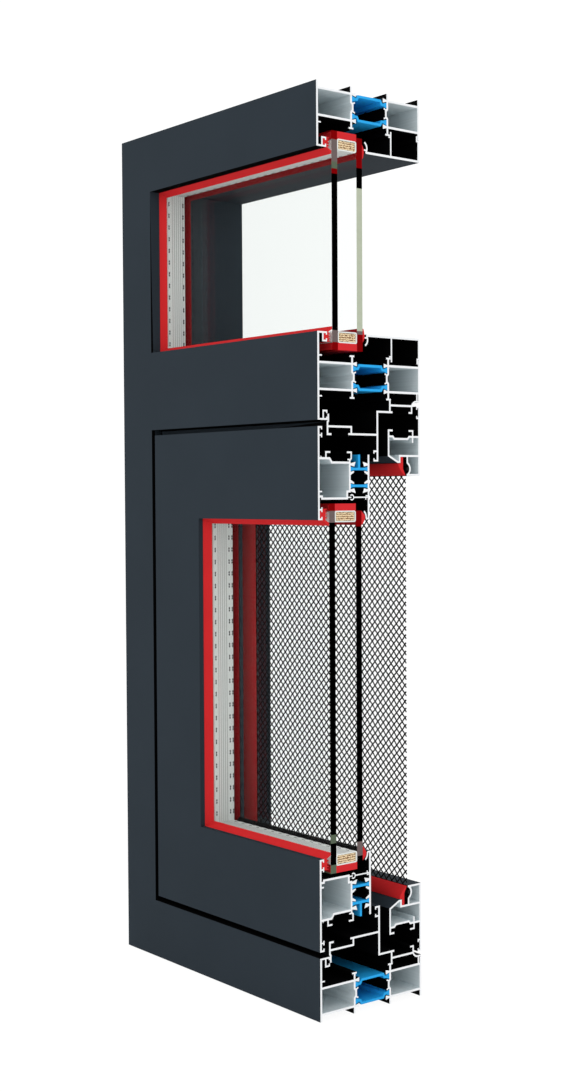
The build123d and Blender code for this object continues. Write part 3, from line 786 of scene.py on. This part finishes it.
def painted_edge_finish(looks, name):
    """Polished cut edge of a pane, with painted reflections of the colours beside it and painted shade and
    light.
    """
    low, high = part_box(name)
    made = Finish(f"{name}_edge")
    height = made.span(made.along("Z"), 0.0, 1.0, low.z, high.z)
    ramp = made.tree.nodes.new("ShaderNodeValToRGB")
    made.link(height, ramp.inputs["Fac"])
    tall = (high.z - low.z) / mm
    foot, top = painted_edge_bands[name]
    stops = [(0.0, foot[0])]
    stops.extend((reach / tall, tint) for reach, tint in zip(foot[1::2], foot[2::2]))
    upper = list(zip(top[1::2], top[0::2]))
    stops.extend((1.0 - reach / tall, tint) for reach, tint in reversed(upper))
    ramp.color_ramp.interpolation = "CONSTANT"
    ends = ramp.color_ramp.elements
    while len(ends) < len(stops):
        ends.new(1.0)
    for end, (spot, tint) in zip(ends, stops):
        end.position = spot
        end.color = scaled(getattr(looks, f"edge_{tint}"), 1.0)
    grain = made.group(effect("grain"), Mottle_scale=200.0, Dimple_scale=2000.0)
    streak = made.span(grain["Mottle"], 0.0, 0.16)
    tint = made.blend(streak, ramp.outputs["Color"], scaled(looks.edge_dark, 1.0))
    made.link(tint, made.shader.inputs["Base Color"])
    made.polish(grain["Dimple"], 0.2, 0.35)
    made.set(Specular_IOR_Level=0.0)
    return made.material


def hinge_finish():
    """Plain zinc-coated steel of the hidden hinge blocks."""
    made = Finish("zinc_steel")
    grain = made.group(effect("grain"), Mottle_scale=120.0, Dimple_scale=900.0)
    tint = made.blend(grain["Mottle"], (0.32, 0.33, 0.34, 1.0), (0.45, 0.46, 0.47, 1.0))
    made.link(tint, made.shader.inputs["Base Color"])
    made.polish(grain["Dimple"], 0.35, 0.5)
    made.set(Metallic=1.0)
    return made.material


# Distance between two ridges of a spacer, and where they begin and end from its outer pane
ridge_pitch = 2.2 * mm
ridge_bands = {"fixed": (5.0 * mm, 17.0 * mm), "sash": (4.4 * mm, 15.3 * mm)}


def spacer_finish(looks, unit):
    """Pale aluminium with fine ridges along the middle of the spacer, darkened as painted shade in their
    grooves.
    """
    made = Finish(f"{unit}_ridged_spacer")
    drawn = made.group(effect("drawn"), Line_scale=900.0, Stretch=0.01)
    depth = made.along("Y")
    wave = maths(made.tree, "SINE", maths(made.tree, "MULTIPLY", depth, 2 * math.pi / ridge_pitch))
    ridge = made.span(wave, 0.0, 1.0, 0.2, 0.8)
    first, last = (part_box(f"{unit}_spacer")[0].y + reach for reach in ridge_bands[unit])
    inside = maths(made.tree, "COMPARE", depth, (first + last) / 2, (last - first) / 2)
    line = maths(made.tree, "MULTIPLY", ridge, inside)
    tint = made.blend(drawn["Line"], scaled(looks.spacer, 0.92), scaled(looks.spacer, 1.05))
    # The ridges are darkened as painted shade in their grooves
    ridge_painted_shade = made.blend(line, tint, scaled(looks.spacer, 0.55))
    made.link(ridge_painted_shade, made.shader.inputs["Base Color"])
    made.polish(drawn["Cloud"], 0.4, 0.55)
    made.set(Specular_IOR_Level=0.3)
    made.relief(line, 0.2, 0.1 * mm)
    return made.material


def rim_finish(looks):
    """Pale aluminium of the cut rim of a spacer."""
    made = Finish("plain_spacer")
    saw = made.group(effect("saw"), Mark_scale=300.0)
    made.paint(saw["Cloud"], looks.spacer, 0.95, 1.05)
    made.polish(saw["Mark"], 0.35, 0.5)
    made.set(Specular_IOR_Level=0.3)
    return made.material


def hole_painted_shade_finish(looks):
    """Painted shade for the inside of a perforation."""
    made = Finish("spacer_perforation")
    grain = made.group(effect("grain"), Mottle_scale=300.0, Dimple_scale=2000.0)
    made.paint(grain["Mottle"], looks.hole_painted_shade, 0.7, 1.2)
    made.set(Roughness=0.8, Specular_IOR_Level=0.1)
    return made.material


def grain_finish(name, tint):
    """Drying grains, or the painted shade between them."""
    made = Finish(name)
    grain = made.group(effect("grain"), Mottle_scale=900.0, Dimple_scale=3000.0)
    spread = made.span(grain["Mottle"], -0.6, 1.6)
    made.paint(spread, tint, 0.8, 1.1)
    made.set(Roughness=0.85, Specular_IOR_Level=0.15)
    made.relief(grain["Dimple"], 0.3, 0.1 * mm)
    return made.material


# Geometry node helpers
class Pattern:
    """A geometry node tree under construction, with named inputs."""

    def __init__(self, name):
        self.tree = bpy.data.node_groups.new(name, "GeometryNodeTree")
        self.tree.interface.new_socket("Geometry", in_out="OUTPUT", socket_type="NodeSocketGeometry")
        self.tree.is_modifier = True
        self.entry = self.tree.nodes.new("NodeGroupInput")
        self.values = {}

    def ask(self, name, kind, value):
        """Add a named input with the value that this piece gives it."""
        socket = self.tree.interface.new_socket(name, in_out="INPUT", socket_type=f"NodeSocket{kind}")
        self.values[socket.identifier] = value
        return self.entry.outputs[name]

    def node(self, kind, settings=None, **inputs):
        """The first output of a new node, with its settings and its inputs as values or sockets."""
        node = self.tree.nodes.new(kind)
        for name, value in (settings or {}).items():
            setattr(node, name, value)
        for name, value in inputs.items():
            plug(self.tree, value, node.inputs[name.replace("_", " ")])
        return node.outputs[0]

    def maths(self, operation, *values):
        """The result of a sum."""
        return maths(self.tree, operation, *values)

    def join(self, *parts):
        """Several geometries as one."""
        node = self.tree.nodes.new("GeometryNodeJoinGeometry")
        for part in parts:
            self.tree.links.new(part, node.inputs["Geometry"])
        return node.outputs["Geometry"]

    def settle(self, result, finish, name):
        """Run the tree once and keep its result as a plain mesh object."""
        material = self.ask("Finish", "Material", finish)
        real = self.node("GeometryNodeRealizeInstances", Geometry=result)
        worn = self.node("GeometryNodeSetMaterial", Geometry=real, Material=material)
        leave = self.tree.nodes.new("NodeGroupOutput")
        self.tree.links.new(worn, leave.inputs["Geometry"])
        empty = bpy.data.meshes.new(f"{name}_start")
        piece = bpy.data.objects.new(name, empty)
        bpy.context.scene.collection.objects.link(piece)
        modifier = piece.modifiers.new("Pattern", "NODES")
        modifier.node_group = self.tree
        for identifier, value in self.values.items():
            modifier[identifier] = value
        bpy.context.view_layer.update()
        seen = piece.evaluated_get(bpy.context.evaluated_depsgraph_get())
        mesh = bpy.data.meshes.new_from_object(seen)
        if not mesh.polygons:
            raise RuntimeError(f"the pattern of {name} is empty")
        piece.modifiers.remove(modifier)
        piece.data = mesh
        mesh.name = name
        bpy.data.meshes.remove(empty)
        return piece


class WINDOWSAMPLE_OT_panes(Operator):
    """Give the panes clear glass that light passes freely, and the hidden hinge blocks steel"""

    bl_idname = "window_sample.panes"
    bl_label = "Finish Panes"

    def execute(self, context):
        looks = context.scene.window_looks.glazing
        glass = glass_finish(looks)
        for node in nodes_with("glass"):
            dress(node, glass, painted_edge_finish(looks, node.name))
            node.visible_shadow = False
            node.visible_diffuse = False
            for face in node.data.polygons:
                if abs(face.normal.y) < mostly:
                    face.material_index = 1
        # The seals and spacers stay out of the mirror image in the panes
        for slot in ("gasket_rubber", "edge_sealant", "spacer_aluminium"):
            for node in nodes_with(slot):
                node.visible_glossy = False
        steel = hinge_finish()
        for node in nodes_with("hinge_steel"):
            dress(node, steel)
        return {"FINISHED"}


# Where the rows of perforations of each spacer lie, as shares of its depth
row_depths = {"fixed": (0.1, 0.87), "sash": (0.1, 0.78, 0.93)}

# Thickness of the dark inlay, painted shade for the inside of a perforation, and how far its middle lies
# below the face
hole_thick = 0.1 * mm
hole_sunk = 0.03 * mm

# How many pitches the first pair of perforations lies from the end of its row
first_pair = 0.75


def hole_rows(unit):
    """Start, direction and length of each row of perforations on a spacer, with its face's normal."""
    low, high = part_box(f"{unit}_spacer")
    middle = (low.z + high.z) / 2
    corners = [vertex.co for vertex in nodes[f"{unit}_spacer"].data.vertices]
    inner_x = max(corner.x for corner in corners if corner.x < 0.0)
    inner_low = max(corner.z for corner in corners if corner.z < middle)
    inner_high = min(corner.z for corner in corners if corner.z > middle)
    along = Vector((1, 0, 0))
    up = Vector((0, 0, 1))
    rows = []
    for part in row_depths[unit]:
        depth = low.y + part * (high.y - low.y)
        foot = Vector((inner_x, depth, inner_low))
        top = Vector((inner_x, depth, inner_high))
        rows.append((foot, up, inner_high - inner_low, along))
        rows.append((foot, along, cut_x - inner_x, up))
        rows.append((top, along, cut_x - inner_x, -up))
    return rows


def perforate(unit, looks, finish):
    """Pairs of small perforations in rows along a spacer, as dark inlays of painted shade."""
    pattern = Pattern(f"Perforations of the {unit} spacer")
    pitch = pattern.ask("Pitch", "Float", looks.hole_pitch)
    wide = pattern.ask("Width", "Float", looks.hole_wide)
    long = pattern.ask("Length", "Float", looks.hole_long)
    pair = pattern.ask("Pair", "Float", looks.hole_pair)
    slot = pattern.node("GeometryNodeMeshCylinder", Vertices=10, Radius=0.5, Depth=hole_thick)
    stretch = pattern.node("ShaderNodeCombineXYZ", X=long, Y=wide, Z=1.0)
    shaped = pattern.node("GeometryNodeTransform", Geometry=slot, Scale=stretch)
    scale = {"operation": "SCALE"}
    parts = []
    for start, along, reach, up in hole_rows(unit):
        turn = Matrix((along, up.cross(along), up)).transposed().to_euler()
        count = int(reach / looks.hole_pitch)
        sunk = start - up * hole_sunk
        stride = pattern.node("ShaderNodeVectorMath", scale, Vector=along, Scale=pitch)
        for shift in (0.5, -0.5):
            moved = pattern.maths("MULTIPLY", pair, shift)
            begin = pattern.maths("ADD", pattern.maths("MULTIPLY", pitch, first_pair), moved)
            offset = pattern.node("ShaderNodeVectorMath", scale, Vector=along, Scale=begin)
            place = maths(pattern.tree, "ADD", sunk, offset, kind="VectorMath")
            line = pattern.node("GeometryNodeMeshLine", Count=count, Start_Location=place, Offset=stride)
            row = pattern.node("GeometryNodeInstanceOnPoints", Points=line, Instance=shaped, Rotation=turn)
            parts.append(row)
    piece = pattern.settle(pattern.join(*parts), finish, f"{unit}_spacer_perforations")
    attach(piece, body)


class WINDOWSAMPLE_OT_spacers(Operator):
    """Give the spacers their ridges, bare rims and perforations"""

    bl_idname = "window_sample.spacers"
    bl_label = "Dress Spacers"

    def execute(self, context):
        looks = context.scene.window_looks.glazing
        plain = rim_finish(looks)
        dark = hole_painted_shade_finish(looks)
        for unit in ("fixed", "sash"):
            node = nodes[f"{unit}_spacer"]
            dress(node, spacer_finish(looks, unit), plain)
            for face in node.data.polygons:
                if is_cut(face):
                    face.material_index = 1
            perforate(unit, looks, dark)
        return {"FINISHED"}


# How the drying grains lie, in grains: from the walls, and behind, beside and below the first layer
from_wall = 0.55
layer_back = 0.45
layer_aside = 0.3
layer_down = 0.1

# How far a grain strays, in grains and as a share of that for its depth, and its smallest and largest size
stray = 0.22
stray_back = 0.3
smallest = 0.75
largest = 1.1


def pour_grains(unit, looks, finish):
    """Loose grains that fill the open ends of a spacer up to the cut."""
    pattern = Pattern(f"Grains of the {unit} spacer")
    size = pattern.ask("Grain size", "Float", looks.grain_size)
    seed = pattern.ask("Seed", "Int", looks.grain_seed)
    low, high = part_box(f"{unit}_desiccant")
    mesh = nodes[f"{unit}_desiccant"].data
    middle = (low.z + high.z) / 2
    tall = max(v.co.z for v in mesh.vertices if v.co.z < middle) - low.z
    wide = high.y - low.y
    radius = pattern.maths("MULTIPLY", size, 0.5)
    ball = pattern.node("GeometryNodeMeshIcoSphere", Radius=radius, Subdivisions=2)
    smooth = pattern.node("GeometryNodeSetShadeSmooth", Geometry=ball)
    grain = looks.grain_size
    inside = grain * from_wall
    spread = grain * stray
    upright = Matrix(((0, 0, 1), (1, 0, 0), (0, 1, 0))).to_euler()
    parts = []
    for number, (layer, base) in enumerate(((a, b) for a in (0, 1) for b in (low.z, high.z - tall))):
        grid = pattern.node(
            "GeometryNodeMeshGrid",
            Size_X=wide - 2 * inside,
            Size_Y=tall - 2 * inside,
            Vertices_X=int(wide / grain),
            Vertices_Y=int(tall / grain),
        )
        place = (
            cut_x - inside - layer_back * layer * grain,
            (low.y + high.y) / 2 + layer_aside * layer * grain,
            base + tall / 2 - layer_down * layer * grain,
        )
        stood = pattern.node("GeometryNodeTransform", Geometry=grid, Rotation=upright, Translation=place)
        own_seed = pattern.maths("ADD", seed, float(number))
        jitter = pattern.node(
            "FunctionNodeRandomValue",
            {"data_type": "FLOAT_VECTOR"},
            Min=(-stray_back * spread, -spread, -spread),
            Max=(0.0, spread, spread),
            Seed=own_seed,
        )
        moved = pattern.node("GeometryNodeSetPosition", Geometry=stood, Offset=jitter)
        sizes = pattern.node("FunctionNodeRandomValue", {"data_type": "FLOAT"}, Seed=own_seed).node
        sizes.inputs[2].default_value = smallest
        sizes.inputs[3].default_value = largest
        balls = pattern.node(
            "GeometryNodeInstanceOnPoints", Points=moved, Instance=smooth, Scale=sizes.outputs[1]
        )
        parts.append(balls)
    piece = pattern.settle(pattern.join(*parts), finish, f"{unit}_drying_grains")
    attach(piece, body)


class WINDOWSAMPLE_OT_grains(Operator):
    """Fill the open ends of the spacers with drying grains"""

    bl_idname = "window_sample.grains"
    bl_label = "Pour Drying Grains"

    def execute(self, context):
        looks = context.scene.window_looks.glazing
        # The solid behind the drying grains gets the fill, painted shade between the grains
        fill = grain_finish("grain_fill", looks.fill)
        beads = grain_finish("drying_grain", looks.grain)
        for node in nodes_with("drying_grains"):
            dress(node, fill)
        for unit in ("fixed", "sash"):
            pour_grains(unit, looks, beads)
        return {"FINISHED"}


# Woven insect screen, whose wires are joined where their ends are this near
weld = 0.02 * mm


def wire_finish(looks):
    """Black coated steel wire."""
    made = Finish("black_coated_wire")
    grain = made.group(effect("grain"), Mottle_scale=80.0, Dimple_scale=2500.0)
    made.paint(grain["Mottle"], looks.wire, 0.75, 1.25)
    made.polish(grain["Dimple"], 0.4, 0.55)
    made.set(Specular_IOR_Level=0.1)
    return made.material


def woven_cross(pattern, diamond, wire, wave, first_over):
    """One crossing of the weave: two short wires that bend over each other."""
    quarter = pattern.maths("MULTIPLY", diamond, 0.25)
    back = pattern.maths("MULTIPLY", diamond, -0.25)
    radius = pattern.maths("MULTIPLY", wire, 0.5)
    round_wire = pattern.node("GeometryNodeCurvePrimitiveCircle", Resolution=6, Radius=radius)
    strands = []
    for rise, over in ((1, first_over), (-1, not first_over)):
        low, high = (back, quarter) if rise > 0 else (quarter, back)
        begin = pattern.node("ShaderNodeCombineXYZ", X=back, Z=low)
        end = pattern.node("ShaderNodeCombineXYZ", X=quarter, Z=high)
        line = pattern.node("GeometryNodeCurvePrimitiveLine", Start=begin, End=end)
        cut = pattern.node("GeometryNodeResampleCurve", Curve=line, Count=3)
        along = pattern.node("GeometryNodeSplineParameter")
        bend = pattern.maths("SINE", pattern.maths("MULTIPLY", along, math.pi))
        lift = pattern.maths("MULTIPLY", bend, wave)
        side = pattern.maths("MULTIPLY", lift, -1.0 if over else 1.0)
        offset = pattern.node("ShaderNodeCombineXYZ", Y=side)
        bent = pattern.node("GeometryNodeSetPosition", Geometry=cut, Offset=offset)
        tube = pattern.node("GeometryNodeCurveToMesh", Curve=bent, Profile_Curve=round_wire)
        strands.append(tube)
    return pattern.join(*strands)


class WINDOWSAMPLE_OT_screen(Operator):
    """Weave the diamond mesh of the insect screen in place of its coarse grid"""

    bl_idname = "window_sample.screen"
    bl_label = "Weave Screen"

    def execute(self, context):
        looks = context.scene.window_looks.screen
        low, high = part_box("screen_mesh")
        middle = (low + high) / 2
        pattern = Pattern("Diamond weave")
        diamond = pattern.ask("Diamond", "Float", looks.diamond)
        wire = pattern.ask("Wire width", "Float", looks.wire_wide)
        wave = pattern.ask("Wave", "Float", looks.wave)
        flat = pattern.ask("Flatness", "Float", looks.flatness)
        columns = int((high.x - low.x - looks.diamond / 2 - looks.wire_wide) / looks.diamond) + 1
        rows = int((high.z - low.z - looks.diamond / 2 - looks.wire_wide) / looks.diamond) + 1
        parts = []
        for fewer, first_over in ((0, True), (1, False)):
            wide = pattern.maths("MULTIPLY", diamond, float(columns - 1 - fewer))
            tall = pattern.maths("MULTIPLY", diamond, float(rows - 1 - fewer))
            grid = pattern.node(
                "GeometryNodeMeshGrid",
                Size_X=wide,
                Size_Y=tall,
                Vertices_X=columns - fewer,
                Vertices_Y=rows - fewer,
            )
            stood = pattern.node(
                "GeometryNodeTransform", Geometry=grid, Rotation=(math.pi / 2, 0.0, 0.0)
            )
            cross = woven_cross(pattern, diamond, wire, wave, first_over)
            parts.append(pattern.node("GeometryNodeInstanceOnPoints", Points=stood, Instance=cross))
        real = pattern.node("GeometryNodeRealizeInstances", Geometry=pattern.join(*parts))
        welded = pattern.node("GeometryNodeMergeByDistance", Geometry=real, Distance=weld)
        pressed = pattern.node("ShaderNodeCombineXYZ", X=1.0, Y=flat, Z=1.0)
        right = high.x - columns * looks.diamond / 2 + looks.diamond / 4 - looks.wire_wide / 2
        placed = pattern.node(
            "GeometryNodeTransform",
            Geometry=welded,
            Translation=(right, middle.y, middle.z),
            Scale=pressed,
        )
        smooth = pattern.node("GeometryNodeSetShadeSmooth", Geometry=placed)
        piece = pattern.settle(smooth, wire_finish(looks), "screen_weave")
        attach(piece, body)
        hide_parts("screen_mesh")
        return {"FINISHED"}


# Colour of the light, strength of the sky, the floor and the mirror image in a pane as they show,
# and how far the floor glows
white = (1.0, 1.0, 1.0, 1.0)
shown_sky = 1.06
shown_floor = 1.04
shown_mirror = 0.03
floor_glow = 0.92

# Half the width of the floor and its distance below the sample
floor_reach = 4.0
floor_drop = 0.2 * mm

# Place and width of the soft lamp, and the point that it faces
lamp_place = Vector((0.5, -1.6, 1.7))
lamp_wide = 1.6
lamp_target = Vector((0.0, 0.0, 0.4))


def show_background(tree, lit, shown):
    """Mix a lit shader with what camera, mirror and glass rays see, dim for sharp mirror rays."""
    rays = tree.nodes.new("ShaderNodeLightPath").outputs
    sharp = maths(tree, "MULTIPLY", rays["Is Singular Ray"], rays["Is Reflection Ray"])
    inner = maths(tree, "MULTIPLY_ADD", rays["Is Transmission Ray"], rays["Glossy Depth"], sharp)
    direct = maths(tree, "MAXIMUM", rays["Is Camera Ray"], rays["Is Glossy Ray"])
    seen = maths(tree, "MAXIMUM", direct, rays["Is Transmission Ray"])
    dim = tree.nodes.new("ShaderNodeEmission")
    dim.inputs["Strength"].default_value = shown_mirror
    return mixed(tree, inner, mixed(tree, seen, lit, shown), dim.outputs["Emission"])


def even_sky(strength):
    """Even white light that shows as plain white."""
    world = bpy.data.worlds.new("even_sky")
    world.use_nodes = True
    tree = world.node_tree
    lit = tree.nodes["Background"]
    lit.inputs["Color"].default_value = white
    lit.inputs["Strength"].default_value = strength
    shown = tree.nodes.new("ShaderNodeBackground")
    shown.inputs["Color"].default_value = white
    shown.inputs["Strength"].default_value = shown_sky
    leave = tree.nodes["World Output"]
    both = show_background(tree, lit.outputs["Background"], shown.outputs["Background"])
    tree.links.new(both, leave.inputs["Surface"])
    bpy.context.scene.world = world


def pale_floor(tint):
    """A wide pale floor that keeps a soft shadow."""
    mesh = bpy.data.meshes.new("floor")
    level = cad_box[0][2] - floor_drop
    sides = ((-1, -1), (1, -1), (1, 1), (-1, 1))
    corners = [(x * floor_reach, y * floor_reach, level) for x, y in sides]
    mesh.from_pydata(corners, [], [(0, 1, 2, 3)])
    floor = bpy.data.objects.new("floor", mesh)
    bpy.context.scene.collection.objects.link(floor)
    made = Finish("pale_floor")
    made.set(Base_Color=scaled(tint, 1.0), Roughness=0.9, Specular_IOR_Level=0.0)
    glow = made.tree.nodes.new("ShaderNodeEmission")
    glow.inputs["Color"].default_value = white
    glow.inputs["Strength"].default_value = shown_floor
    lit = made.shader.outputs["BSDF"]
    shown = mixed(made.tree, floor_glow, lit, glow.outputs["Emission"])
    both = show_background(made.tree, lit, shown)
    made.link(both, made.tree.nodes["Material Output"].inputs["Surface"])
    mesh.materials.append(made.material)


def key_light(power):
    """A large soft lamp on the street side, high and to the left of the camera."""
    lamp = bpy.data.lights.new("key", "AREA")
    lamp.energy = power
    lamp.shape = "DISK"
    lamp.size = lamp_wide
    holder = bpy.data.objects.new("key", lamp)
    holder.location = lamp_place
    holder.rotation_euler = (lamp_target - lamp_place).to_track_quat("-Z", "Y").to_euler()
    bpy.context.scene.collection.objects.link(holder)


def photo_camera(looks):
    """The camera at the photograph's viewing angle."""
    lens = bpy.data.cameras.new("camera")
    lens.lens = looks.lens
    lens.sensor_width = 36.0
    lens.clip_start = 0.01
    holder = bpy.data.objects.new("camera", lens)
    bpy.context.scene.collection.objects.link(holder)
    level = math.cos(looks.elevation)
    ahead = Vector((
        -math.sin(looks.azimuth) * level,
        math.cos(looks.azimuth) * level,
        -math.sin(looks.elevation),
    ))
    right = Vector((math.cos(looks.azimuth), math.sin(looks.azimuth), 0.0))
    up = right.cross(ahead)
    swing = math.sin(looks.roll)
    keep = math.cos(looks.roll)
    tilted_right = keep * right + swing * up
    tilted_up = keep * up - swing * right
    turn = Matrix((tilted_right, tilted_up, -ahead)).transposed()
    holder.matrix_world = Matrix.Translation(looks.place) @ turn.to_4x4()
    bpy.context.scene.camera = holder


class WINDOWSAMPLE_OT_stage(Operator):
    """Set the floor, the light and the camera"""

    bl_idname = "window_sample.stage"
    bl_label = "Set Stage"

    def execute(self, context):
        looks = context.scene.window_looks.stage
        even_sky(looks.sky)
        pale_floor(looks.floor)
        key_light(looks.key)
        photo_camera(looks)
        context.scene.view_settings.view_transform = "Standard"
        return {"FINISHED"}


steps = (
    WINDOWSAMPLE_OT_stage,
    WINDOWSAMPLE_OT_profiles,
    WINDOWSAMPLE_OT_strips,
    WINDOWSAMPLE_OT_seals,
    WINDOWSAMPLE_OT_panes,
    WINDOWSAMPLE_OT_spacers,
    WINDOWSAMPLE_OT_grains,
    WINDOWSAMPLE_OT_screen,
)


class WINDOWSAMPLE_PT_panel(Panel):
    """Steps and values of the window sample"""

    bl_idname = "WINDOWSAMPLE_PT_panel"
    bl_label = "Window Sample"
    bl_space_type = "VIEW_3D"
    bl_region_type = "UI"
    bl_category = "Window"

    def draw(self, context):
        looks = context.scene.window_looks
        for step in steps:
            self.layout.operator(step.bl_idname)
        for part in ("profiles", "seals", "glazing", "screen", "stage"):
            box = self.layout.box()
            values = getattr(looks, part)
            for name in values.__annotations__:
                box.prop(values, name)


groups = (ProfileFinish, SealFinish, GlazingFinish, ScreenFinish, StageFinish, WindowLooks)


def register():
    """Register the values, the steps and the panel."""
    for entry in groups + steps + (WINDOWSAMPLE_PT_panel,):
        bpy.utils.register_class(entry)
    bpy.types.Scene.window_looks = PointerProperty(
        name="Window looks", description="Sizes and colours of the window sample", type=WindowLooks
    )


def unregister():
    """Undo the registration."""
    del bpy.types.Scene.window_looks
    for entry in reversed(groups + steps + (WINDOWSAMPLE_PT_panel,)):
        bpy.utils.unregister_class(entry)


def main():
    """Run every step in order."""
    register()
    for step in steps:
        area, name = step.bl_idname.split(".")
        getattr(getattr(bpy.ops, area), name)()


if __name__ == "__main__":
    main()
